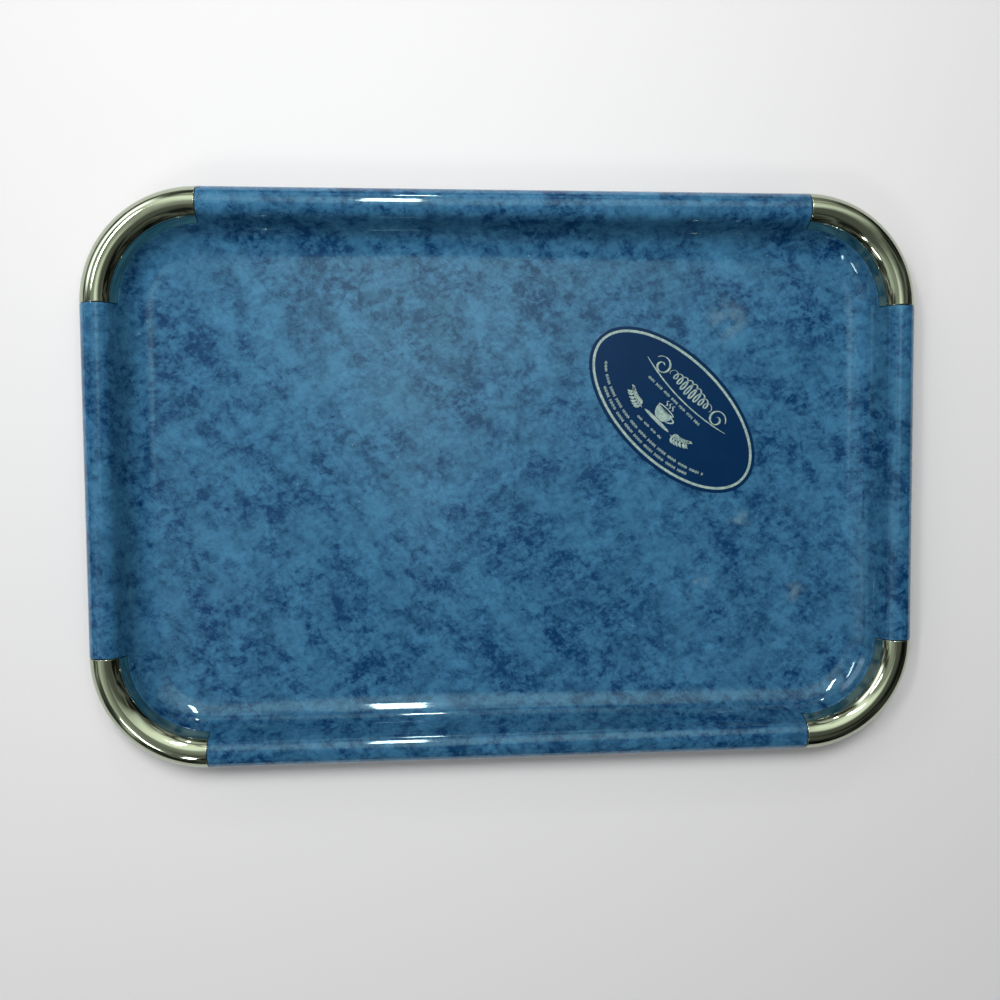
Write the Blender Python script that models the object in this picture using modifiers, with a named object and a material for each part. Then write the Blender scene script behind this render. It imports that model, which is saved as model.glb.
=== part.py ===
"""Serving tray with a rolled rim, four snap-on corner caps and an oval label.

Metres, +Z up. The origin is the centre of the flat underside, +X runs along the long side and +Y towards
the rear long side.

The side's cross-section is drawn in (inset, height): inset is the distance inwards from the outer edge of
the rim. It starts at the bottom of the outer skirt, rolls over the rim, comes down the wall and ends in a
cove that meets the floor.
"""
import math

import bmesh
import bpy
from mathutils import Matrix

COLLECTION = "serving_tray"

# Plan
LENGTH = 0.450
WIDTH = 0.308
CORNER_RADIUS = 0.0614

# Cross-section of the moulding
WALL = 0.0028
RIM_RADIUS = 0.0090
SKIRT_HEIGHT = 0.0045
WALL_SLOPE = math.radians(64.0)
WALL_STRAIGHT = 0.0040
COVE_RADIUS = 0.0185
FLOOR_MARGIN = 0.0030

# Corner caps
CAP_THICKNESS = 0.0010
CAP_LIP_BELOW_STRAIGHT = 0.0012
HOOK_HEIGHT = 0.0022
GAP = 0.0003
RECESS = CAP_THICKNESS + GAP

# Oval label
LABEL_SEMI_MAJOR = 0.0582
LABEL_SEMI_MINOR = 0.0313
LABEL_THICKNESS = 0.0003
LABEL_PLACE = (0.0916, 0.0365)
LABEL_TURN = math.radians(-44.4)

# Resolution
CORNER_STEPS = 15
RIM_STEPS_OUTSIDE = 6
RIM_STEPS_INSIDE = 5
COVE_STEPS = 6
LABEL_SIDES = 64
CUTTER_MARGIN = 0.0010
TOLERANCE = 0.00002

# Heights and insets worked out from the above
FLOOR_TOP = WALL
COVE_DROP = COVE_RADIUS * (1.0 - math.cos(WALL_SLOPE))
RIM_DROP = RIM_RADIUS * (1.0 - math.cos(WALL_SLOPE))
STRAIGHT_DROP = WALL_STRAIGHT * math.sin(WALL_SLOPE)
RIM_TOP = FLOOR_TOP + COVE_DROP + STRAIGHT_DROP + RIM_DROP
RIM_CENTRE_HEIGHT = RIM_TOP - RIM_RADIUS
SKIRT_BOTTOM = RIM_CENTRE_HEIGHT - SKIRT_HEIGHT
COVE_START_INSET = (RIM_RADIUS * (1.0 + math.sin(WALL_SLOPE))
                    + WALL_STRAIGHT * math.cos(WALL_SLOPE))
FLOOR_INSET = COVE_START_INSET + COVE_RADIUS * math.sin(WALL_SLOPE)
CAP_LIP_TURN = CAP_LIP_BELOW_STRAIGHT / COVE_RADIUS


def clear_scene():
    for item in list(bpy.data.objects):
        bpy.data.objects.remove(item, do_unlink=True)


def make_collection(name):
    collection = bpy.data.collections.new(name)
    bpy.context.scene.collection.children.link(collection)
    return collection


def make_material(name, colour, roughness, metallic):
    material = bpy.data.materials.new(name)
    material.use_nodes = True
    shader = material.node_tree.nodes["Principled BSDF"]
    shader.inputs["Base Color"].default_value = (*colour, 1.0)
    shader.inputs["Roughness"].default_value = roughness
    shader.inputs["Metallic"].default_value = metallic
    material.diffuse_color = (*colour, 1.0)
    return material


def make_object(name, mesh, collection, material=None):
    item = bpy.data.objects.new(name, mesh)
    collection.objects.link(item)
    if material is not None and not mesh.materials:
        mesh.materials.append(material)
    return item


def mesh_from_bmesh(name, bm):
    bmesh.ops.recalc_face_normals(bm, faces=bm.faces)
    mesh = bpy.data.meshes.new(name)
    bm.to_mesh(mesh)
    bm.free()
    mesh.shade_smooth()
    mesh.set_sharp_from_angle(angle=math.radians(35.0))
    return mesh


def rim_point(turn, offset=0.0):
    """A point on the rim roll: turn 0 is the outer flank, 90 degrees the crest."""
    radius = RIM_RADIUS + offset
    return (RIM_RADIUS - radius * math.cos(turn), RIM_CENTRE_HEIGHT + radius * math.sin(turn))


def cove_point(slope, offset=0.0):
    """A point on the cove where the surface has the given slope, down to 0 at the floor."""
    radius = COVE_RADIUS - offset
    return (FLOOR_INSET - radius * math.sin(slope), FLOOR_TOP + COVE_RADIUS - radius * math.cos(slope))


def rim_and_straight(offset=0.0):
    """The roll from its outer flank over the crest to the wall's slope. The cove closes the straight."""
    crest = math.pi / 2.0
    turns = [crest * step / RIM_STEPS_OUTSIDE for step in range(RIM_STEPS_OUTSIDE)]
    turns += [crest + WALL_SLOPE * step / RIM_STEPS_INSIDE for step in range(RIM_STEPS_INSIDE + 1)]
    return [rim_point(turn, offset) for turn in turns]


def side_profile():
    """The moulding's outer and upper surface from the skirt's bottom to the flat floor."""
    skirt = [(0.0, SKIRT_BOTTOM)]
    cove = [cove_point(WALL_SLOPE * (1.0 - step / COVE_STEPS)) for step in range(COVE_STEPS + 1)]
    return skirt + rim_and_straight() + cove + [(FLOOR_INSET + FLOOR_MARGIN, FLOOR_TOP)]


def band(offset, lip_slope):
    """The surface at an offset, from the rim's outer flank to a cap's lip on the cove."""
    return rim_and_straight(offset) + [cove_point(WALL_SLOPE, offset), cove_point(lip_slope, offset)]


def cap_section():
    """Closed section of a cap: over the rim, down the flank and hooked up behind the skirt."""
    lip_slope = WALL_SLOPE - CAP_LIP_TURN + GAP / COVE_RADIUS
    outer = band(0.0, lip_slope)
    inner = band(-CAP_THICKNESS, lip_slope)
    hook_inside = WALL + GAP
    hook = [
        (CAP_THICKNESS, SKIRT_BOTTOM + CAP_THICKNESS),
        (hook_inside, SKIRT_BOTTOM + CAP_THICKNESS),
        (hook_inside, SKIRT_BOTTOM + CAP_THICKNESS + HOOK_HEIGHT),
        (hook_inside + CAP_THICKNESS, SKIRT_BOTTOM + CAP_THICKNESS + HOOK_HEIGHT),
        (hook_inside + CAP_THICKNESS, SKIRT_BOTTOM),
        (0.0, SKIRT_BOTTOM),
    ]
    return list(reversed(inner)) + hook + outer


def recess_section():
    """Closed section of the cutter that lets a cap in flush with the moulding."""
    lip_slope = WALL_SLOPE - CAP_LIP_TURN
    floor_of_recess = band(-RECESS, lip_slope)
    outside = band(CUTTER_MARGIN, lip_slope)
    below_skirt = [
        (RECESS, SKIRT_BOTTOM + RECESS),
        (WALL + CUTTER_MARGIN, SKIRT_BOTTOM + RECESS),
        (WALL + CUTTER_MARGIN, SKIRT_BOTTOM - CUTTER_MARGIN),
        (-CUTTER_MARGIN, SKIRT_BOTTOM - CUTTER_MARGIN),
    ]
    return list(reversed(floor_of_recess)) + below_skirt + outside


def spin_section(name, section, start, sweep, steps):
    """Turn a closed (inset, height) section about a corner's centre, which is the mesh's origin."""
    bm = bmesh.new()
    verts = [bm.verts.new((CORNER_RADIUS - inset, 0.0, height)) for inset, height in section]
    face = bm.faces.new(verts)
    bmesh.ops.rotate(bm, verts=verts, cent=(0.0, 0.0, 0.0), matrix=Matrix.Rotation(start, 3, "Z"))
    bmesh.ops.spin(bm, geom=[face], cent=(0.0, 0.0, 0.0), axis=(0.0, 0.0, 1.0), angle=sweep, steps=steps)
    return mesh_from_bmesh(name, bm)


def add_mirror(item):
    """Mirror a quarter across both centre planes."""
    mirror = item.modifiers.new("Mirror", "MIRROR")
    mirror.use_axis = (True, True, False)
    mirror.merge_threshold = TOLERANCE


def quarter_shell():
    """One quarter of the moulding's upper surface, open at the two centre planes."""
    centre_x = LENGTH / 2.0 - CORNER_RADIUS
    centre_y = WIDTH / 2.0 - CORNER_RADIUS
    bm = bmesh.new()
    chain = [bm.verts.new((centre_x + CORNER_RADIUS - inset, centre_y, height))
             for inset, height in side_profile()]
    section = [bm.edges.new(pair) for pair in zip(chain, chain[1:])]
    turned = bmesh.ops.spin(bm, geom=chain + section, cent=(centre_x, centre_y, 0.0),
                            axis=(0.0, 0.0, 1.0), angle=math.pi / 2.0, steps=CORNER_STEPS)
    last_section = [part for part in turned["geom_last"] if isinstance(part, bmesh.types.BMEdge)]
    runs = ((section, (0.0, -centre_y, 0.0)), (last_section, (-centre_x, 0.0, 0.0)))
    for edges, way in runs:
        extruded = bmesh.ops.extrude_edge_only(bm, edges=edges)
        moved = [part for part in extruded["geom"] if isinstance(part, bmesh.types.BMVert)]
        bmesh.ops.translate(bm, verts=moved, vec=way)
    fill_floor(bm)
    return mesh_from_bmesh("tray_pan", bm)


def is_floor_rim(edge):
    """True for an open edge round the floor that doesn't lie in a centre plane."""
    level = all(abs(vert.co.z - FLOOR_TOP) < TOLERANCE for vert in edge.verts)
    in_plane = any(all(abs(vert.co[axis]) < TOLERANCE for vert in edge.verts) for axis in (0, 1))
    return edge.is_boundary and level and not in_plane


def fill_floor(bm):
    """Close the quarter's floor with one flat face up to the centre."""
    outline = [edge for edge in bm.edges if is_floor_rim(edge)]
    verts = {vert for edge in outline for vert in edge.verts}
    on_x_plane = min(verts, key=lambda vert: vert.co.x)
    on_y_plane = min(verts, key=lambda vert: vert.co.y)
    centre = bm.verts.new((0.0, 0.0, FLOOR_TOP))
    outline.append(bm.edges.new((on_x_plane, centre)))
    outline.append(bm.edges.new((centre, on_y_plane)))
    bmesh.ops.contextual_create(bm, geom=outline)


def make_recess_cutter(cutters):
    """Four recesses, one at each bend, from a quarter mirrored both ways."""
    mesh = spin_section("corner_recess", recess_section(), 0.0, math.pi / 2.0, CORNER_STEPS)
    centre_x = LENGTH / 2.0 - CORNER_RADIUS
    centre_y = WIDTH / 2.0 - CORNER_RADIUS
    mesh.transform(Matrix.Translation((centre_x, centre_y, 0.0)))
    cutter = make_object("corner_recess", mesh, cutters)
    add_mirror(cutter)
    cutter.hide_render = True
    cutter.display_type = "WIRE"
    return cutter


def make_pan(collection, cutter, material):
    """The moulding: a mirrored quarter surface, thickened down and cut back at the bends."""
    pan = make_object("tray_pan", quarter_shell(), collection, material)
    add_mirror(pan)
    shell = pan.modifiers.new("Wall", "SOLIDIFY")
    shell.thickness = WALL
    shell.offset = -1.0
    shell.use_even_offset = True
    recess = pan.modifiers.new("Corner recesses", "BOOLEAN")
    recess.operation = "DIFFERENCE"
    recess.solver = "EXACT"
    recess.object = cutter


def make_caps(collection, material):
    """Four equal caps, each a quarter turn, set on the corner centres."""
    trim = GAP / (CORNER_RADIUS - COVE_START_INSET)
    mesh = spin_section("corner_cap", cap_section(), trim, math.pi / 2.0 - 2.0 * trim, CORNER_STEPS)
    corners = (
        ("corner_cap_rear_right", 1, 1, 0.0),
        ("corner_cap_rear_left", -1, 1, 90.0),
        ("corner_cap_front_left", -1, -1, 180.0),
        ("corner_cap_front_right", 1, -1, 270.0),
    )
    for name, side_x, side_y, turn in corners:
        cap = make_object(name, mesh, collection, material)
        cap.location = (side_x * (LENGTH / 2.0 - CORNER_RADIUS), side_y * (WIDTH / 2.0 - CORNER_RADIUS), 0.0)
        cap.rotation_euler = (0.0, 0.0, math.radians(turn))


def make_label(collection, material):
    """A thin oval plate just above the floor."""
    bm = bmesh.new()
    bmesh.ops.create_cone(bm, cap_ends=True, segments=LABEL_SIDES, radius1=1.0, radius2=1.0,
                          depth=LABEL_THICKNESS)
    bmesh.ops.scale(bm, vec=(LABEL_SEMI_MAJOR, LABEL_SEMI_MINOR, 1.0), verts=bm.verts)
    label = make_object("oval_label", mesh_from_bmesh("oval_label", bm), collection, material)
    label.location = (*LABEL_PLACE, FLOOR_TOP + GAP + LABEL_THICKNESS / 2.0)
    label.rotation_euler = (0.0, 0.0, LABEL_TURN)


def main():
    clear_scene()
    tray = make_collection(COLLECTION)
    cutters = make_collection("cutters")
    blue = make_material("mottled_blue_plastic", (0.071, 0.205, 0.352), 0.15, 0.0)
    metal = make_material("pale_gold_chrome", (0.62, 0.61, 0.45), 0.12, 1.0)
    print_ink = make_material("navy_label", (0.004, 0.026, 0.102), 0.3, 0.0)
    make_pan(tray, make_recess_cutter(cutters), blue)
    make_caps(tray, metal)
    make_label(tray, print_ink)


main()
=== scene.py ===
import math

import bmesh
import bpy
from mathutils import Matrix, Vector


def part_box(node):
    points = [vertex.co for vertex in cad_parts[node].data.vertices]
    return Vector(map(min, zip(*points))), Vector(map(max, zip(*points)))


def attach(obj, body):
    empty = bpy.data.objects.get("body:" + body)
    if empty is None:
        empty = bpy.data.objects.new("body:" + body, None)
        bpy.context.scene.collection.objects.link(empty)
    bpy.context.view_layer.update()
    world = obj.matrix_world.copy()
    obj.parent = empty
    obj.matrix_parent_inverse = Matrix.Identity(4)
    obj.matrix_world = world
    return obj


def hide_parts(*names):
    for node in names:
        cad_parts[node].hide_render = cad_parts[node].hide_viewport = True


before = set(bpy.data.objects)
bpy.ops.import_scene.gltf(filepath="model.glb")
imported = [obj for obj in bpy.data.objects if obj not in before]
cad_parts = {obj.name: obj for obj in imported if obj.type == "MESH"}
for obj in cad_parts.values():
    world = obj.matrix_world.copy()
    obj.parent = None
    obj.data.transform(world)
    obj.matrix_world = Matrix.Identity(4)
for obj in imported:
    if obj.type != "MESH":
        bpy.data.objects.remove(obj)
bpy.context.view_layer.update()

QUARTER_TURN = math.pi / 2.0
FULL_TURN = 2.0 * math.pi

# ---------------------------------------------------------------------------------------------------------
# Sizes, in metres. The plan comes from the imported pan, the cross-section repeats the CAD model's.
# ---------------------------------------------------------------------------------------------------------
MM = 0.001
PAN_LOW, PAN_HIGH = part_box("tray_pan")
LENGTH = PAN_HIGH.x - PAN_LOW.x
WIDTH = PAN_HIGH.y - PAN_LOW.y
CORNER_RADIUS = 61.4 * MM
WALL = 2.8 * MM
RIM_RADIUS = 9.0 * MM
SKIRT_HEIGHT = 4.5 * MM
WALL_SLOPE = math.radians(64.0)
WALL_STRAIGHT = 4.0 * MM
COVE_RADIUS = 18.5 * MM
FLOOR_MARGIN = 3.0 * MM

# The caps, and the recess that each one lies in
CAP_THICKNESS = 1.0 * MM
CAP_LIP_BELOW_STRAIGHT = 1.2 * MM
CAP_HEEL_ROUND = 0.8 * MM
HOOK_HEIGHT = 2.2 * MM
HOOK_BEVEL_ACROSS = 0.3 * MM
HOOK_BEVEL_DOWN = 0.2 * MM
GAP = 0.3 * MM
RECESS = CAP_THICKNESS + GAP
RECESS_MARGIN = 1.2 * MM

# Rounded edges, and how smooth faces are joined
EDGE_ROUND = 0.32 * MM
EDGE_GUARD = 0.25 * MM
CORNER_STEPS = 36
MERGE_DISTANCE = 0.002 * MM
SHARP_ANGLE = math.radians(40.0)

COVE_DROP = COVE_RADIUS * (1.0 - math.cos(WALL_SLOPE))
RIM_DROP = RIM_RADIUS * (1.0 - math.cos(WALL_SLOPE))
RIM_TOP = WALL + COVE_DROP + WALL_STRAIGHT * math.sin(WALL_SLOPE) + RIM_DROP
RIM_CENTRE = RIM_TOP - RIM_RADIUS
SKIRT_BOTTOM = RIM_CENTRE - SKIRT_HEIGHT
ROLL_END_INSET = RIM_RADIUS * (1.0 + math.sin(WALL_SLOPE))
COVE_START_INSET = ROLL_END_INSET + WALL_STRAIGHT * math.cos(WALL_SLOPE)
FLOOR_INSET = COVE_START_INSET + COVE_RADIUS * math.sin(WALL_SLOPE)

# Lengths along the section, measured from the bottom of the skirt
ROLL_RUN = SKIRT_HEIGHT
STRAIGHT_RUN = ROLL_RUN + RIM_RADIUS * (QUARTER_TURN + WALL_SLOPE)
COVE_RUN = STRAIGHT_RUN + WALL_STRAIGHT
FLOOR_RUN = COVE_RUN + COVE_RADIUS * WALL_SLOPE
LIP_RUN = COVE_RUN + CAP_LIP_BELOW_STRAIGHT
SECTION_END = FLOOR_RUN + FLOOR_MARGIN

# Each bend's side in X, side in Y and the angle at which it starts, counterclockwise
CORNERS = (
    (1, 1, 0.0),
    (-1, 1, QUARTER_TURN),
    (-1, -1, 2.0 * QUARTER_TURN),
    (1, -1, 3.0 * QUARTER_TURN),
)
CAP_NAMES = ("cap_rear_right", "cap_rear_left", "cap_front_left", "cap_front_right")


def spread(start, end, count):
    """Evenly spaced values with both ends."""
    return [start + (end - start) * step / (count - 1) for step in range(count)]


# ---------------------------------------------------------------------------------------------------------
# The cross-section
# ---------------------------------------------------------------------------------------------------------
def section(run, depth=0.0):
    """The (inset, height) of the surface at a length along it, sunk by depth along its normal."""
    if run <= ROLL_RUN:
        point = (0.0, SKIRT_BOTTOM + run)
        normal = (-1.0, 0.0)
    elif run <= STRAIGHT_RUN:
        turn = (run - ROLL_RUN) / RIM_RADIUS
        normal = (-math.cos(turn), math.sin(turn))
        point = (RIM_RADIUS * (1.0 + normal[0]), RIM_CENTRE + RIM_RADIUS * normal[1])
    elif run <= COVE_RUN:
        along = run - STRAIGHT_RUN
        normal = (math.sin(WALL_SLOPE), math.cos(WALL_SLOPE))
        start = (ROLL_END_INSET, RIM_CENTRE + RIM_RADIUS * math.cos(WALL_SLOPE))
        point = (start[0] + along * normal[1], start[1] - along * normal[0])
    elif run <= FLOOR_RUN:
        slope = WALL_SLOPE - (run - COVE_RUN) / COVE_RADIUS
        normal = (math.sin(slope), math.cos(slope))
        point = (FLOOR_INSET - COVE_RADIUS * normal[0], WALL + COVE_RADIUS * (1.0 - normal[1]))
    else:
        normal = (0.0, 1.0)
        point = (FLOOR_INSET + run - FLOOR_RUN, WALL)
    return (point[0] - depth * normal[0], point[1] - depth * normal[1])


def fillet(radius, steps=4):
    """(distance from the edge, depth) pairs of a rounded edge, from the surface to its side face.

    The first pair lies further back on the flat surface and keeps the shading flat up to the edge.
    """
    turns = spread(0.0, QUARTER_TURN, steps + 1)
    arc = [(radius * (1.0 - math.sin(turn)), radius * (1.0 - math.cos(turn))) for turn in turns]
    return [(radius + EDGE_GUARD, 0.0)] + arc


def nose(outer, inner, bottom, steps=8):
    """A rounded bottom edge from an outer to an inner face."""
    radius = (inner - outer) / 2.0
    middle = outer + radius
    turns = spread(0.0, math.pi, steps + 1)[1:-1]
    return [(middle - radius * math.cos(turn), bottom + radius - radius * math.sin(turn)) for turn in turns]


# ---------------------------------------------------------------------------------------------------------
# Lofting sections round the plan
# ---------------------------------------------------------------------------------------------------------
def corner_station(side_x, side_y, angle):
    """Centre and outward direction of a station on a bend."""
    centre = Vector((side_x * (LENGTH / 2.0 - CORNER_RADIUS), side_y * (WIDTH / 2.0 - CORNER_RADIUS), 0.0))
    outward = Vector((math.cos(angle), math.sin(angle), 0.0))
    return centre, outward


def place(centre, outward, points):
    """World points of (inset, height) pairs at a station."""
    return [centre + outward * (CORNER_RADIUS - inset) + Vector((0.0, 0.0, height))
            for inset, height in points]


def loft(name, rings, closed_path, closed_section):
    """Skin a list of rings of equal length. Open ends of the path or section get one face each."""
    bm = bmesh.new()
    rows = [[bm.verts.new(point) for point in ring] for ring in rings]
    path_count = len(rows) if closed_path else len(rows) - 1
    size = len(rows[0])
    section_count = size if closed_section else size - 1
    for i in range(path_count):
        near, far = rows[i], rows[(i + 1) % len(rows)]
        for j in range(section_count):
            k = (j + 1) % size
            bm.faces.new((near[j], near[k], far[k], far[j]))
    if not closed_path:
        bm.faces.new(rows[0])
        bm.faces.new(rows[-1])
    if not closed_section:
        bm.faces.new([row[0] for row in rows])
        bm.faces.new([row[-1] for row in rows])
    bmesh.ops.remove_doubles(bm, verts=bm.verts, dist=MERGE_DISTANCE)
    mesh = finished_mesh(name, bm)
    mesh.shade_smooth()
    mesh.set_sharp_from_angle(angle=SHARP_ANGLE)
    return mesh


def finished_mesh(name, bm):
    """A mesh from an edited one, with its normals turned outwards."""
    bmesh.ops.recalc_face_normals(bm, faces=bm.faces)
    mesh = bpy.data.meshes.new(name)
    bm.to_mesh(mesh)
    bm.free()
    return mesh


def add_piece(name, mesh, slot, *nodes):
    """Link a finished mesh, let it ride on the tray and stand for its CAD nodes."""
    piece = bpy.data.objects.new(name, mesh)
    bpy.context.scene.collection.objects.link(piece)
    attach(piece, "root")
    if nodes:
        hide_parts(*nodes)
    return piece


# ---------------------------------------------------------------------------------------------------------
# The moulded pan
# ---------------------------------------------------------------------------------------------------------
def pan_runs():
    """(run, share of the recess) pairs of the upper surface, from the floor to the skirt's bottom."""
    floor_side = [SECTION_END] + spread(FLOOR_RUN, LIP_RUN + RECESS_MARGIN, 20)
    lip = [(LIP_RUN + along, depth / RECESS) for along, depth in fillet(EDGE_ROUND)]
    recessed = spread(LIP_RUN, STRAIGHT_RUN, 6) + spread(STRAIGHT_RUN, ROLL_RUN, 40)[1:]
    return [(run, 0.0) for run in floor_side] + lip + [(run, 1.0) for run in recessed]


def pan_ring(depth):
    """The pan's whole section, sunk by depth where a cap lies."""
    top = [section(run, share * depth) for run, share in pan_runs()]
    bottom_edge = nose(depth, WALL, SKIRT_BOTTOM + depth)
    under = spread(ROLL_RUN, STRAIGHT_RUN, 22) + spread(COVE_RUN, FLOOR_RUN, 12) + [SECTION_END]
    return top + bottom_edge + [section(run, WALL) for run in under]


def recess_end(side_x, side_y, angle, along_sign):
    """The rings at one end of a bend, from the full rim over its rounded edge to the recess's side."""
    centre, outward = corner_station(side_x, side_y, angle)
    forward = Vector((-outward.y, outward.x, 0.0)) * along_sign
    return [place(centre + forward * along, outward, pan_ring(depth)) for along, depth in fillet(EDGE_ROUND)]


def make_pan():
    """The whole pan, as one loft round the plan with a recess over each bend."""
    rings = []
    for side_x, side_y, start in CORNERS:
        end = start + QUARTER_TURN
        rings += recess_end(side_x, side_y, start, -1.0)
        for turn in spread(start, end, CORNER_STEPS + 1):
            rings.append(place(*corner_station(side_x, side_y, turn), pan_ring(RECESS)))
        rings += reversed(recess_end(side_x, side_y, end, 1.0))
    mesh = loft("pan", rings, closed_path=True, closed_section=False)
    return add_piece("pan", mesh, "pan", "tray_pan")


# ---------------------------------------------------------------------------------------------------------
# The corner caps
# ---------------------------------------------------------------------------------------------------------
def cap_ring(sink):
    """A cap's closed section, its outer surface sunk by a rounded end's depth."""
    lip = LIP_RUN - GAP
    edge = [section(lip - along, max(depth, sink)) for along, depth in reversed(fillet(EDGE_ROUND))]
    outer_runs = spread(lip - 2.0 * EDGE_ROUND, STRAIGHT_RUN, 5) + spread(STRAIGHT_RUN, ROLL_RUN, 36)[1:]
    outer = [section(run, sink) for run in outer_runs]
    heel = [(CAP_HEEL_ROUND - (CAP_HEEL_ROUND - sink) * math.cos(turn),
             SKIRT_BOTTOM + sink + CAP_HEEL_ROUND * (1.0 - math.sin(turn)))
            for turn in spread(0.0, QUARTER_TURN, 6)]
    hook_inside = WALL + GAP
    hook_outside = hook_inside + CAP_THICKNESS
    hook_foot = SKIRT_BOTTOM + CAP_THICKNESS
    hook_tip = hook_foot + HOOK_HEIGHT
    hook = [
        (hook_outside - CAP_HEEL_ROUND, SKIRT_BOTTOM + sink),
        (hook_outside - sink, SKIRT_BOTTOM + CAP_HEEL_ROUND),
        (hook_outside - sink, hook_tip - HOOK_BEVEL_DOWN),
        (hook_outside - HOOK_BEVEL_ACROSS, hook_tip),
        (hook_inside + HOOK_BEVEL_ACROSS, hook_tip),
        (hook_inside, hook_tip - HOOK_BEVEL_DOWN),
        (hook_inside, hook_foot),
        (CAP_THICKNESS, hook_foot),
    ]
    inner_runs = spread(ROLL_RUN, STRAIGHT_RUN, 28) + [COVE_RUN, lip]
    inner = [section(run, CAP_THICKNESS) for run in inner_runs]
    return edge + outer + heel + hook + inner


def make_cap(name, side_x, side_y, start):
    """One cap over a bend, with both ends rounded."""
    trim = GAP / (CORNER_RADIUS - COVE_START_INSET)
    middle_radius = CORNER_RADIUS - RIM_RADIUS
    first, last = start + trim, start + QUARTER_TURN - trim
    ends = [(along / middle_radius, depth) for along, depth in reversed(fillet(EDGE_ROUND))]
    inner_first, inner_last = first + ends[-1][0], last - ends[-1][0]
    stations = [(first + turn, depth) for turn, depth in ends]
    stations += [(turn, 0.0) for turn in spread(inner_first, inner_last, CORNER_STEPS)[1:-1]]
    stations += [(last - turn, depth) for turn, depth in reversed(ends)]
    rings = [place(*corner_station(side_x, side_y, turn), cap_ring(sink)) for turn, sink in stations]
    mesh = loft(name, rings, closed_path=False, closed_section=True)
    return add_piece(name, mesh, "caps", "corner_" + name)


def make_caps():
    """All four caps."""
    return [make_cap(name, *corner) for name, corner in zip(CAP_NAMES, CORNERS)]


# ---------------------------------------------------------------------------------------------------------
# Node helpers
# ---------------------------------------------------------------------------------------------------------
class Nodes:
    """A short way to build the node tree of a material or a world."""

    def __init__(self, owner):
        owner.use_nodes = True
        self.owner = owner
        self.tree = owner.node_tree
        self.shader = self.tree.nodes.get("Principled BSDF")

    def add(self, kind, **values):
        """A node with its properties set by name."""
        node = self.tree.nodes.new("ShaderNode" + kind)
        for key, value in values.items():
            setattr(node, key, value)
        return node

    def put(self, socket, value):
        """Link an output to a socket, or set the socket's own value."""
        if isinstance(value, bpy.types.NodeSocket):
            self.tree.links.new(value, socket)
        else:
            socket.default_value = value

    def coordinate(self, kind):
        """A texture coordinate by the name of its output."""
        return self.add("TexCoord").outputs[kind]

    def split(self, vector):
        """The X, Y and Z of a vector."""
        node = self.add("SeparateXYZ")
        self.put(node.inputs["Vector"], vector)
        return [node.outputs[axis] for axis in "XYZ"]

    def compare(self, operation, first, second):
        """One number from two vectors, such as their dot product or distance."""
        node = self.add("VectorMath", operation=operation)
        self.put(node.inputs[0], first)
        self.put(node.inputs[1], second)
        return node.outputs["Value"]

    def stretched(self, vector, turn, along, across):
        """Coordinates whose pattern is drawn out along a direction in the plan."""
        node = self.add("Mapping", vector_type="TEXTURE")
        self.put(node.inputs["Vector"], vector)
        node.inputs["Rotation"].default_value = (0.0, 0.0, turn)
        node.inputs["Scale"].default_value = (along, across, 1.0)
        return node.outputs["Vector"]

    def noise(self, vector, scale, detail=2.0, roughness=0.5, distortion=0.0):
        """Layered noise from 0 to 1, with scale cells to a unit of the vector."""
        node = self.add("TexNoise")
        self.put(node.inputs["Vector"], vector)
        node.inputs["Scale"].default_value = scale
        node.inputs["Detail"].default_value = detail
        node.inputs["Roughness"].default_value = roughness
        node.inputs["Distortion"].default_value = distortion
        return node.outputs["Fac"]

    def dots(self, vector, scale):
        """The distance to the nearest of scattered points, in cells, with scale cells to a unit."""
        node = self.add("TexVoronoi", feature="F1")
        self.put(node.inputs["Vector"], vector)
        node.inputs["Scale"].default_value = scale
        return node.outputs["Distance"]

    def math(self, operation, first, second=0.0, third=0.0):
        """A sum on up to three values."""
        node = self.add("Math", operation=operation)
        for socket, value in zip(node.inputs, (first, second, third)):
            self.put(socket, value)
        return node.outputs[0]

    def away(self, value, middle):
        """How far a value is from a middle, on either side."""
        return self.math("ABSOLUTE", self.math("SUBTRACT", value, middle))

    def remap(self, value, low, high, to_low=0.0, to_high=1.0):
        """An S-shaped change from to_low at low to to_high at high, level outside them."""
        node = self.add("MapRange", interpolation_type="SMOOTHSTEP")
        self.put(node.inputs["Value"], value)
        node.inputs["From Min"].default_value = low
        node.inputs["From Max"].default_value = high
        node.inputs["To Min"].default_value = to_low
        node.inputs["To Max"].default_value = to_high
        return node.outputs["Result"]

    def mix(self, factor, first, second):
        """A colour between two."""
        node = self.add("Mix", data_type="RGBA")
        inputs = [socket for socket in node.inputs if socket.type == "RGBA"]
        self.put(node.inputs["Factor"], factor)
        self.put(inputs[0], first)
        self.put(inputs[1], second)
        return next(socket for socket in node.outputs if socket.type == "RGBA")

    def mix_value(self, factor, first, second):
        """A number between two."""
        node = self.add("Mix", data_type="FLOAT")
        self.put(node.inputs["Factor"], factor)
        self.put(node.inputs["A"], first)
        self.put(node.inputs["B"], second)
        return node.outputs["Result"]

    def bump(self, height, strength, distance):
        """A normal tipped by small unevenness."""
        node = self.add("Bump")
        self.put(node.inputs["Height"], height)
        node.inputs["Strength"].default_value = strength
        node.inputs["Distance"].default_value = distance
        return node.outputs["Normal"]

    def surface(self, **values):
        """Set the Principled shader's sockets, with _ for a space."""
        for key, value in values.items():
            self.put(self.shader.inputs[key.replace("_", " ")], value)


def colour(red, green, blue):
    """A display colour from 0 to 255 as linear values."""
    def linear(value):
        value /= 255.0
        return value / 12.92 if value <= 0.04045 else ((value + 0.055) / 1.055) ** 2.4
    return (linear(red), linear(green), linear(blue), 1.0)


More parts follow.
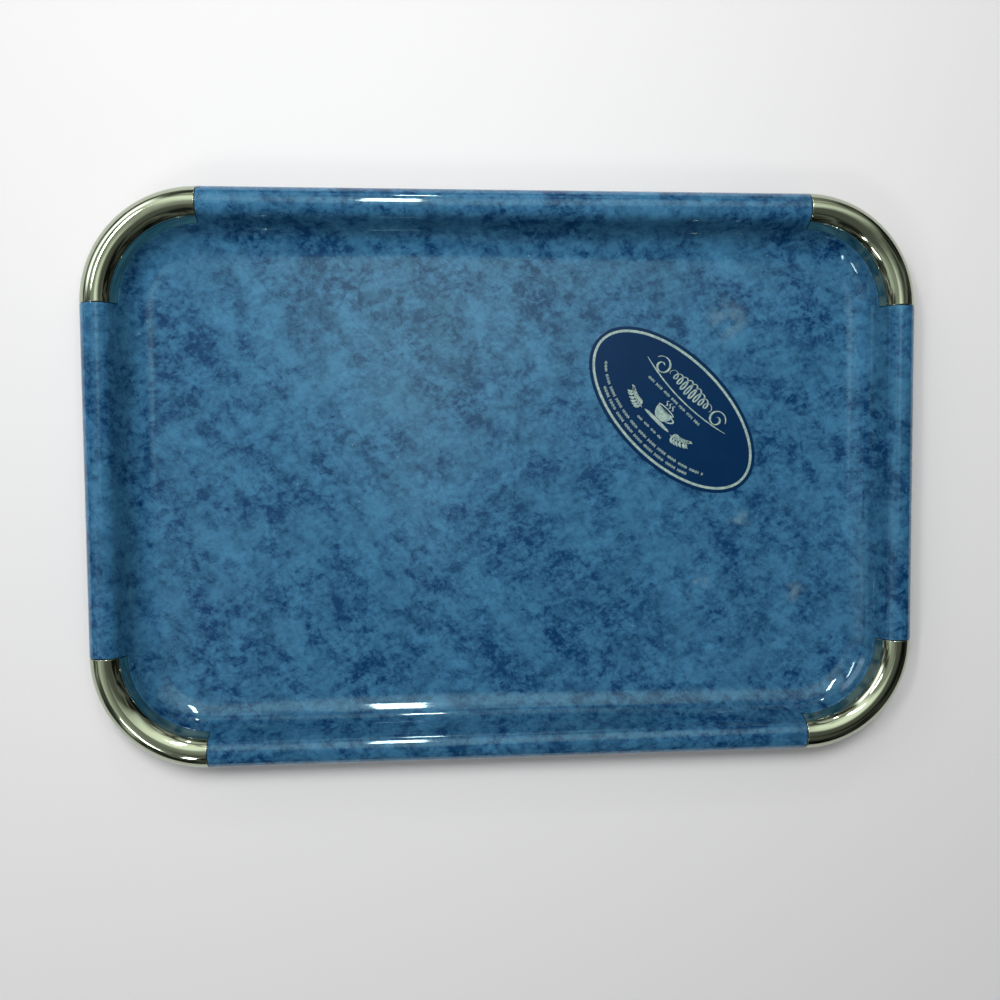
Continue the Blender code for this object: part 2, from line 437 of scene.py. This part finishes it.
# ---------------------------------------------------------------------------------------------------------
# Materials
# ---------------------------------------------------------------------------------------------------------
PALE_BLUE = colour(70, 132, 171)
DEEP_BLUE = colour(2, 52, 97)
GREYED_BLUE = colour(42, 87, 114)
PALE_SPOT_BLUE = colour(140, 172, 180)
# SHADE_BLUE is the painted shade laid on the inner walls
SHADE_BLUE = colour(4, 20, 36)
DUST_BLUE = colour(190, 205, 215)
UNDERSIDE_BLUES = (colour(46, 82, 112), colour(57, 96, 127))
LABEL_BLUES = (colour(1, 38, 74), colour(6, 47, 86))
INK_TONES = (colour(126, 159, 158), colour(176, 197, 185))
CHROME_TINT = (0.455, 0.50, 0.38, 1.0)
PAN_GLOSS_TINT = (0.72, 1.0, 1.0, 1.0)
PAN_ROUGHNESS = 0.045
PALE_SPOT_ROUGHNESS = 0.4

# How far each kind of dark mark deepens the blue, and how much of the marks shows between the clouds
# and is added inside them
CROWD_WEIGHT = 0.40
FLECK_WEIGHT = 0.48
SPECK_WEIGHT = 0.28
VEIN_WEIGHT = 0.26
VEIN_WIDTH = 0.035
MARKS_BETWEEN = 0.45
MARKS_ADDED = 0.50

# The strongest share of each overlay's colour, and the dust's grains
GREYED_SHARE = 0.22
PALE_SPOT_SHARE = 0.34
SHADE_SHARE = 0.26
DUST_SHARE = 0.55
DUST_SCALE = 62.0
DUST_RADIUS = 0.035

# Faint pale, duller spots on the floor: x, y and radius in metres
PALE_SPOTS = (
    (0.123, 0.087, 0.016),
    (0.130, -0.026, 0.009),
    (0.106, -0.062, 0.010),
    (0.162, -0.067, 0.009),
)


def mottle(make, spot):
    """How dark the pan's pattern is: flecks, specks and veins crowded into diagonal clouds."""
    slanted = make.stretched(spot, math.radians(-48.0), along=1.6, across=0.85)
    crumpled = make.stretched(spot, math.radians(20.0), along=1.35, across=0.9)
    clouds = make.noise(slanted, 26.0, detail=3.0, roughness=0.6, distortion=0.3)
    clouds = make.remap(clouds, 0.34, 0.64)
    patches = make.noise(slanted, 72.0, detail=4.0, roughness=0.72, distortion=0.3)
    patches = make.remap(patches, 0.38, 0.62)
    crowd = make.math("ADD", make.math("MULTIPLY", clouds, 0.5), make.math("MULTIPLY", patches, 0.5))
    flecks = make.noise(crumpled, 170.0, detail=3.0, roughness=0.62, distortion=0.3)
    flecks = make.remap(flecks, 0.40, 0.60)
    specks = make.remap(make.noise(spot, 330.0, detail=2.0, roughness=0.6), 0.38, 0.62)
    veins = 0.0
    for field, scale in ((slanted, 60.0), (crumpled, 95.0)):
        folds = make.away(make.noise(field, scale, detail=3.0, roughness=0.6, distortion=0.8), 0.5)
        veins = make.math("MAXIMUM", make.remap(folds, 0.0, VEIN_WIDTH, 1.0, 0.0), veins)
    tone = make.math("MULTIPLY", crowd, CROWD_WEIGHT)
    gathered = make.math("MULTIPLY_ADD", crowd, MARKS_ADDED, MARKS_BETWEEN)
    for marks, weight in ((flecks, FLECK_WEIGHT), (specks, SPECK_WEIGHT), (veins, VEIN_WEIGHT)):
        tone = make.math("MULTIPLY_ADD", make.math("MULTIPLY", marks, gathered), weight, tone)
    return tone


def pale_spots_on_floor(make, spot):
    """How pale the floor is made, strongest at the middle of each spot and broken up by noise."""
    pale_spot = 0.0
    for x, y, radius in PALE_SPOTS:
        distance = make.compare("DISTANCE", spot, (x, y, WALL))
        pale_spot = make.math("MAXIMUM", make.remap(distance, 0.0, radius, 1.0, 0.0), pale_spot)
    broken = make.remap(make.noise(spot, 120.0, detail=3.0), 0.42, 0.62, 0.0, PALE_SPOT_SHARE)
    return make.math("MULTIPLY", pale_spot, broken)


def painted_wall_shade(make, spot):
    """Painted shade: how much darker the blue is made on the inner walls, where the surface leans towards the
    middle.
    """
    normal = make.coordinate("Normal")
    inward = make.remap(make.compare("DOT_PRODUCT", normal, spot), -0.01, -0.06)
    lean = make.remap(make.split(normal)[2], 0.97, 0.55, 0.0, SHADE_SHARE)
    return make.math("MULTIPLY", lean, inward)


def mottled_blue():
    """Glossy blue moulding with dark mottling, faint pale spots, painted shade on the inner walls and a
    little dust.
    """
    make = Nodes(bpy.data.materials.new("mottled_blue_gloss"))
    spot = make.coordinate("Object")
    base = make.mix(mottle(make, spot), PALE_BLUE, DEEP_BLUE)
    greyed = make.remap(make.noise(spot, 40.0, detail=2.0), 0.35, 0.65, 0.0, GREYED_SHARE)
    base = make.mix(greyed, base, GREYED_BLUE)
    # Faint pale spots on the floor, made paler and duller
    pale_spot = pale_spots_on_floor(make, spot)
    base = make.mix(pale_spot, base, PALE_SPOT_BLUE)
    # Painted shade: the inner walls are darkened towards SHADE_BLUE
    base = make.mix(painted_wall_shade(make, spot), base, SHADE_BLUE)
    dust = make.remap(make.dots(spot, DUST_SCALE), 0.0, DUST_RADIUS, DUST_SHARE, 0.0)
    base = make.mix(dust, base, DUST_BLUE)
    roughness = make.math("MULTIPLY_ADD", pale_spot, PALE_SPOT_ROUGHNESS, PAN_ROUGHNESS)
    make.surface(Base_Color=base, Roughness=roughness, Specular_IOR_Level=0.6, Specular_Tint=PAN_GLOSS_TINT)
    return make.owner


def plain_underside():
    """The moulding's plain, slightly duller underside."""
    make = Nodes(bpy.data.materials.new("plain_blue_underside"))
    spot = make.coordinate("Object")
    haze = make.noise(spot, 30.0, detail=4.0, roughness=0.6)
    grain = make.noise(spot, 900.0, detail=2.0)
    make.surface(Base_Color=make.mix(haze, *UNDERSIDE_BLUES), Roughness=make.remap(haze, 0.2, 0.8, 0.28, 0.4),
                 Normal=make.bump(grain, strength=0.15, distance=0.05 * MM))
    return make.owner


def pale_gold_chrome():
    """Polished metallised plastic with a pale gold tint."""
    make = Nodes(bpy.data.materials.new("pale_gold_chrome"))
    spot = make.coordinate("Object")
    ripple = make.noise(spot, 60.0, detail=2.0)
    smear = make.noise(spot, 130.0, detail=4.0, roughness=0.7)
    make.surface(Base_Color=CHROME_TINT, Metallic=1.0, Roughness=make.remap(smear, 0.3, 0.75, 0.03, 0.11),
                 Normal=make.bump(ripple, strength=0.5, distance=0.2 * MM))
    return make.owner


def label_film():
    """The label's smooth navy ground."""
    make = Nodes(bpy.data.materials.new("navy_label_film"))
    tone = make.noise(make.coordinate("Object"), 60.0, detail=3.0)
    make.surface(Base_Color=make.mix(tone, *LABEL_BLUES), Roughness=0.18, Specular_IOR_Level=0.2)
    return make.owner


def label_ink():
    """The label's pale, slightly uneven ink."""
    make = Nodes(bpy.data.materials.new("pale_label_ink"))
    tone = make.noise(make.coordinate("Object"), 700.0, detail=3.0, roughness=0.7)
    make.surface(Base_Color=make.mix(make.remap(tone, 0.35, 0.65), *INK_TONES), Roughness=0.35)
    return make.owner


def paint_pan(pan):
    """The pattern lies on the upper and outer surface, and the underside is plain."""
    outline_depth = 0.2 * MM
    faces_down = -0.2
    faces_sideways = 0.05
    pan.data.materials.append(mottled_blue())
    pan.data.materials.append(plain_underside())
    for face in pan.data.polygons:
        middle = face.center
        inset_x = LENGTH / 2.0 - abs(middle.x)
        inset_y = WIDTH / 2.0 - abs(middle.y)
        outer = min(inset_x, inset_y) < outline_depth
        under_rim = middle.z < RIM_CENTRE and not outer and face.normal.z <= faces_sideways
        face.material_index = 1 if face.normal.z < faces_down or under_rim else 0


# ---------------------------------------------------------------------------------------------------------
# The oval label. Its drawing is in millimetres: u runs along the oval and v across it, from its middle.
# ---------------------------------------------------------------------------------------------------------
LABEL_LOW, LABEL_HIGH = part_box("oval_label")
LABEL_CENTRE = (LABEL_LOW + LABEL_HIGH) / 2.0
LABEL_SEMI_U = 58.2
LABEL_SEMI_V = 31.3
LABEL_TURN = math.radians(-44.4)
LABEL_SIDES = 128
INK_TOP = LABEL_HIGH.z
INK_BASE = INK_TOP - 0.06 * MM
FILM_TOP = INK_TOP - 0.03 * MM
BORDER_SEMI_U = 55.6
BORDER_SEMI_V = 28.7
BORDER_WIDTH = 1.4
BORDER_SIDES = 160
TICK_PITCH = 0.66
TICK_WIDTH = 0.38
PEN_SLANT = 0.4


def on_label(u, v, height):
    """A world point of the label's drawing."""
    flat = Matrix.Rotation(LABEL_TURN, 3, "Z") @ Vector((u * MM, v * MM, 0.0))
    return Vector((LABEL_CENTRE.x + flat.x, LABEL_CENTRE.y + flat.y, height))


def line(start, end, count=12):
    """Points of a straight line."""
    return list(zip(spread(start[0], end[0], count), spread(start[1], end[1], count)))


def oval(centre_u, centre_v, semi_u, semi_v, count=28):
    """Points of a closed oval."""
    turns = [FULL_TURN * step / count for step in range(count)]
    return [(centre_u + semi_u * math.cos(turn), centre_v + semi_v * math.sin(turn)) for turn in turns]


def oval_arc(semi_u, semi_v, first, last, count=40):
    """Points of part of an oval round the label's middle, between two angles in degrees."""
    turns = [math.radians(angle) for angle in spread(first, last, count)]
    return [(semi_u * math.cos(turn), semi_v * math.sin(turn)) for turn in turns]


def sweep(start, control, end, count):
    """Points of a quadratic curve."""
    points = []
    for t in spread(0.0, 1.0, count):
        a, b, c = (1.0 - t) ** 2, 2.0 * t * (1.0 - t), t * t
        points.append(tuple(a * s + b * m + c * e for s, m, e in zip(start, control, end)))
    return points


def pen(points, thin, thick):
    """Widths of a broad pen held at a slant, tapering at both ends."""
    widths = []
    last = len(points) - 1
    for index in range(len(points)):
        before, after = points[max(index - 1, 0)], points[min(index + 1, last)]
        slant = math.atan2(after[1] - before[1], after[0] - before[0])
        taper = min(1.0, 6.0 * index / last + 0.25, 6.0 * (last - index) / last + 0.25)
        widths.append((thin + (thick - thin) * abs(math.sin(slant - PEN_SLANT)) ** 1.5) * taper)
    return widths


def strip(bm, points, widths, closed=False):
    """A flat printed stroke along label points, with its own width at each."""
    count = len(points)
    sides = []
    for index, (u, v) in enumerate(points):
        before = points[index - 1] if index or closed else points[index]
        after = points[(index + 1) % count] if index < count - 1 or closed else points[index]
        along = Vector((after[0] - before[0], after[1] - before[1]))
        along.normalize()
        half = widths[index] / 2.0
        left = (u - along.y * half, v + along.x * half)
        right = (u + along.y * half, v - along.x * half)
        sides.append([bm.verts.new(on_label(*left, INK_TOP)), bm.verts.new(on_label(*right, INK_TOP)),
                      bm.verts.new(on_label(*right, INK_BASE)), bm.verts.new(on_label(*left, INK_BASE))])
    steps = count if closed else count - 1
    for index in range(steps):
        near, far = sides[index], sides[(index + 1) % count]
        for corner in range(4):
            other = (corner + 1) % 4
            bm.faces.new((near[corner], near[other], far[other], far[corner]))
    if not closed:
        bm.faces.new(sides[0])
        bm.faces.new(sides[-1])


def blot(bm, outline):
    """A filled printed shape from its outline."""
    top = [bm.verts.new(on_label(u, v, INK_TOP)) for u, v in outline]
    bottom = [bm.verts.new(on_label(u, v, INK_BASE)) for u, v in outline]
    bm.faces.new(top)
    bm.faces.new(bottom)
    for index in range(len(outline)):
        other = (index + 1) % len(outline)
        bm.faces.new((top[index], top[other], bottom[other], bottom[index]))


def draw_flourish(bm):
    """A symmetrical pen ornament: a swelling chain of loops between two curls, over an underline."""
    turns, steps_per_turn = 9, 26
    half_length, chain_v, loop_width = 15.0, 15.2, 1.6
    low_loop, swell = 1.8, 2.6
    loops = []
    for share in spread(0.0, 1.0, steps_per_turn * turns + 1):
        phase = FULL_TURN * turns * share
        tall = low_loop + swell * math.sin(math.pi * share) ** 2
        along = 2.0 * half_length * share - half_length
        loops.append((along - loop_width * math.sin(phase), chain_v - tall * math.cos(phase)))
    strip(bm, loops, pen(loops, thin=0.38, thick=0.95))
    curl_u, curl_v = 21.5, 13.6
    for way in (-1.0, 1.0):
        curl = []
        for t in spread(0.0, 1.0, 80):
            turn = 0.3 + 8.2 * t
            reach = 5.6 - 4.4 * t
            curl.append((way * (curl_u + reach * math.cos(turn)), curl_v + reach * math.sin(turn)))
        strip(bm, curl, pen(curl, thin=0.42, thick=1.2))
    underline = sweep((-31.0, 11.4), (0.0, 3.6), (31.0, 11.4), 40)
    strip(bm, underline, pen(underline, thin=0.55, thick=1.1))


def draw_ticks(bm, path, height, gaps):
    """A row of fine upright ticks along a path, in groups of gaps - 2, as a band of small print."""
    lengths = [0.0]
    for near, far in zip(path, path[1:]):
        lengths.append(lengths[-1] + math.hypot(far[0] - near[0], far[1] - near[1]))
    segment = 0
    for tick in range(int(lengths[-1] / TICK_PITCH)):
        if tick % gaps in (0, 1):
            continue
        distance = tick * TICK_PITCH
        while segment < len(path) - 2 and lengths[segment + 1] < distance:
            segment += 1
        near, far = path[segment], path[segment + 1]
        share = (distance - lengths[segment]) / (lengths[segment + 1] - lengths[segment])
        u = near[0] + (far[0] - near[0]) * share
        v = near[1] + (far[1] - near[1]) * share
        along = Vector((far[0] - near[0], far[1] - near[1])).normalized()
        tall = height * (0.75 + 0.25 * math.sin(tick * 2.4))
        foot = (u + along.y * tall / 2.0, v - along.x * tall / 2.0)
        head = (u - along.y * tall / 2.0, v + along.x * tall / 2.0)
        strip(bm, [foot, head], [TICK_WIDTH, TICK_WIDTH])


def draw_cup(bm, middle=-2.6):
    """A steaming cup on a saucer, set a little left of the label's middle."""
    side = [(-5.6, -3.4), (-5.3, -5.4), (-4.4, -7.3), (-2.8, -8.7), (-1.6, -9.1)]
    blot(bm, [(u + middle, v) for u, v in side] + [(middle - u, v) for u, v in reversed(side)])
    brim = oval(middle, -2.6, 5.5, 0.9)
    strip(bm, brim, [0.55] * len(brim), closed=True)
    blot(bm, oval(middle, -10.4, 9.4, 1.0))
    handle = sweep((middle + 5.2, -4.0), (middle + 10.4, -4.4), (middle + 4.3, -7.8), 16)
    strip(bm, handle, pen(handle, thin=0.7, thick=1.0))
    for shift in (-2.2, 0.0, 2.2):
        steam = [(middle + shift + 0.7 * math.sin(t * 2.6), -1.0 + t * 1.3) for t in spread(0.0, 2.6, 14)]
        strip(bm, steam, pen(steam, thin=0.35, thick=0.7))
    for way in (-1.0, 1.0):
        draw_sprig(bm, middle, way)


def draw_sprig(bm, middle, way):
    """A stem with six pairs of leaves, on one side of the cup."""
    stem = sweep((middle + way * 11.0, -10.8), (middle + way * 16.0, -11.2), (middle + way * 22.5, -6.8), 20)
    strip(bm, stem, pen(stem, thin=0.5, thick=0.7))
    for pair, index in enumerate((3, 6, 9, 12, 15, 17)):
        u, v = stem[index]
        for lift in (1.0, -1.0):
            tip = (u + way * 2.6, v + lift * (2.9 - 0.2 * pair))
            leaf = sweep((u, v), (u + way * 0.3, v + lift * 2.0), tip, 9)
            strip(bm, leaf, [0.2 + 1.3 * math.sin(turn) for turn in spread(0.0, math.pi, len(leaf))])


def make_label():
    """A thin oval plate with a softly rounded edge."""
    # (distance from the oval's edge in millimetres, height) pairs
    edge = [(0.0, LABEL_LOW.z), (0.0, FILM_TOP - 0.10 * MM), (0.03, FILM_TOP - 0.03 * MM),
            (0.10, FILM_TOP), (0.40, FILM_TOP)]
    ovals = [oval(0.0, 0.0, LABEL_SEMI_U - shrink, LABEL_SEMI_V - shrink, LABEL_SIDES) for shrink, _ in edge]
    rings = [[on_label(*points[side], height) for points, (_, height) in zip(ovals, edge)]
             for side in range(LABEL_SIDES)]
    mesh = loft("label", rings, closed_path=True, closed_section=False)
    mesh.materials.append(label_film())
    add_piece("label", mesh, "label", "oval_label")


def make_print():
    """All of the label's pale ink, as one thin printed layer."""
    bm = bmesh.new()
    border = oval(0.0, 0.0, BORDER_SEMI_U, BORDER_SEMI_V, BORDER_SIDES)
    strip(bm, border, [BORDER_WIDTH] * BORDER_SIDES, closed=True)
    draw_flourish(bm)
    draw_ticks(bm, line((-24.0, 4.0), (17.0, 4.6)), height=1.7, gaps=9)
    draw_cup(bm)
    draw_ticks(bm, line((-13.4, -16.0), (6.5, -15.9)), height=1.5, gaps=8)
    draw_ticks(bm, oval_arc(48.5, 21.4, 196.0, 322.0), height=1.8, gaps=11)
    draw_ticks(bm, oval_arc(51.0, 25.1, 222.0, 308.0), height=1.8, gaps=12)
    mesh = finished_mesh("label_print", bm)
    mesh.materials.append(label_ink())
    add_piece("label_print", mesh, "label")


# ---------------------------------------------------------------------------------------------------------
# The studio, in metres
# ---------------------------------------------------------------------------------------------------------
FLOOR_SIZE = 8.0
CEILING = 1.6
WHITE = (1.0, 1.0, 1.0, 1.0)
SURROUND_TINT = (0.95, 1.0, 0.90, 1.0)
WINDOW_TINT = (1.0, 0.98, 1.12, 1.0)

# The window that only reflections see: its middle's bearing in radians, from the left towards the back,
# its middle's height as the Z of a direction, and how strong it is
WINDOW_BEARING = 0.65
WINDOW_RISE = 0.44
WINDOW_STRENGTH = 2.1

# How strong the surround is for diffuse light and as the backdrop
DIFFUSE_STRENGTH = 0.16
BACKDROP_STRENGTH = 0.9

# Ceiling panels that face straight down: name, place, size and radiance
PANELS = (
    ("panel_near", (-0.105, 0.95, CEILING), (0.125, 0.70), 39.0),
    ("panel_far", (-0.045, 3.0, CEILING), (0.15, 0.45), 48.0),
    ("panel_left", (-1.10, 0.80, CEILING), (0.22, 0.70), 18.0),
    ("panel_left_front", (-1.40, -1.50, CEILING), (0.25, 0.70), 16.0),
)

# The camera, with its lens and sensor in millimetres
CAMERA_PLACE = (-49.8 * MM, 16.1 * MM, 554.2 * MM)
CAMERA_TURN = (math.radians(-2.933), math.radians(-4.614), math.radians(-0.45))
CAMERA_LENS = 36.0
CAMERA_SENSOR = 36.0


def make_floor():
    """A wide pale floor under the tray."""
    bpy.ops.mesh.primitive_plane_add(size=FLOOR_SIZE, location=(0.0, 0.0, 0.0))
    floor = bpy.context.object
    floor.name = "studio_floor"
    make = Nodes(bpy.data.materials.new("pale_floor"))
    make.surface(Base_Color=(0.90, 0.90, 0.90, 1.0), Roughness=0.9)
    floor.data.materials.append(make.owner)


def make_panel(name, centre, size, radiance, aim=False, glossy=True):
    """A flat light facing straight down, or aimed at the tray. Without glossy no reflection shows it."""
    light = bpy.data.lights.new(name, "AREA")
    light.shape = "RECTANGLE"
    light.size, light.size_y = size
    light.energy = radiance * size[0] * size[1] * math.pi
    panel = bpy.data.objects.new(name, light)
    panel.location = centre
    if aim:
        panel.rotation_euler = (-Vector(centre)).to_track_quat("-Z", "Y").to_euler()
    panel.visible_camera = False
    panel.visible_glossy = glossy
    bpy.context.scene.collection.objects.link(panel)


def lit_ceiling(make, x, y, z):
    """The ceiling's brightness by direction: lit in a wedge behind the tray, dark in front and beside."""
    height = make.math("MAXIMUM", z, 0.05)
    right = make.math("DIVIDE", x, height)
    back = make.math("DIVIDE", y, height)
    reach = make.math("MULTIPLY_ADD", make.math("MAXIMUM", right, 0.0), -0.8, back)
    reach = make.math("MULTIPLY_ADD", make.math("MINIMUM", right, 0.0), 1.5, reach)
    return make.math("MULTIPLY", make.remap(reach, -0.24, 0.12), make.remap(back, 0.40, 1.5, 1.05, 0.0))


def patchy_walls(make, direction, z):
    """The walls' brightness by direction: patchy, palest rear left and darkest front right."""
    towards_left = make.compare("DOT_PRODUCT", direction, Vector((-0.80, 0.60, 0.0)).normalized())
    side = make.remap(towards_left, -0.10, 0.16, 0.13, 0.42)
    side = make.math("MULTIPLY", side, make.remap(towards_left, -0.80, -0.35, 0.35, 1.0))
    patches = make.remap(make.noise(direction, 3.4, detail=2.0, distortion=0.6), 0.40, 0.60, 0.15, 1.7)
    patches = make.mix_value(make.remap(z, 0.75, 0.92), patches, 1.0)
    return make.math("MULTIPLY", side, patches)


def soft_window(make, x, y, z):
    """1 inside the soft-edged window on the rear left, 0 outside it."""
    bearing = make.math("ARCTAN2", y, make.math("MULTIPLY", x, -1.0))
    across = make.remap(make.away(bearing, WINDOW_BEARING), 0.28, 0.50, 1.0, 0.0)
    up = make.remap(make.away(z, WINDOW_RISE), 0.09, 0.19, 1.0, 0.0)
    return make.math("MULTIPLY", across, up)


def make_world():
    """A surround for the gloss to reflect. Diffuse and camera rays see an even one instead."""
    world = bpy.data.worlds.new("studio")
    bpy.context.scene.world = world
    make = Nodes(world)
    direction = make.coordinate("Generated")
    x, y, z = make.split(direction)
    walls = patchy_walls(make, direction, z)
    horizon = make.remap(z, 0.05, 0.45, 0.25, 1.0)
    window = soft_window(make, x, y, z)
    strength = make.math("MULTIPLY_ADD", walls, horizon, lit_ceiling(make, x, y, z))
    strength = make.math("MULTIPLY_ADD", window, WINDOW_STRENGTH, strength)
    rays = make.add("LightPath").outputs
    strength = make.mix_value(rays["Is Diffuse Ray"], strength, DIFFUSE_STRENGTH)
    strength = make.mix_value(rays["Is Camera Ray"], strength, BACKDROP_STRENGTH)
    tint = make.mix(rays["Is Glossy Ray"], WHITE, make.mix(window, SURROUND_TINT, WINDOW_TINT))
    background = make.tree.nodes["Background"]
    make.put(background.inputs["Color"], tint)
    make.put(background.inputs["Strength"], strength)


def make_lights():
    """Ceiling panels behind and to the left, a far window in front and a fill light above the tray."""
    for name, centre, size, radiance in PANELS:
        make_panel(name, centre, size, radiance)
    make_panel("window_front", (-1.55, -3.50, 3.20), (0.22, 0.80), 16.0, aim=True)
    make_panel("soft_fill", (-0.08, 0.20, 0.50), (0.30, 0.30), 2.6, glossy=False)


def make_camera():
    """A camera almost straight above the tray."""
    camera = bpy.data.cameras.new("camera")
    camera.lens = CAMERA_LENS
    camera.sensor_width = CAMERA_SENSOR
    item = bpy.data.objects.new("camera", camera)
    item.location = CAMERA_PLACE
    item.rotation_euler = CAMERA_TURN
    bpy.context.scene.collection.objects.link(item)
    bpy.context.scene.camera = item


def main():
    """The tray, its label and the studio."""
    make_camera()
    paint_pan(make_pan())
    chrome = pale_gold_chrome()
    for cap in make_caps():
        cap.data.materials.append(chrome)
    make_label()
    make_print()
    make_floor()
    make_world()
    make_lights()
    bpy.context.scene.view_settings.view_transform = "Standard"


main()
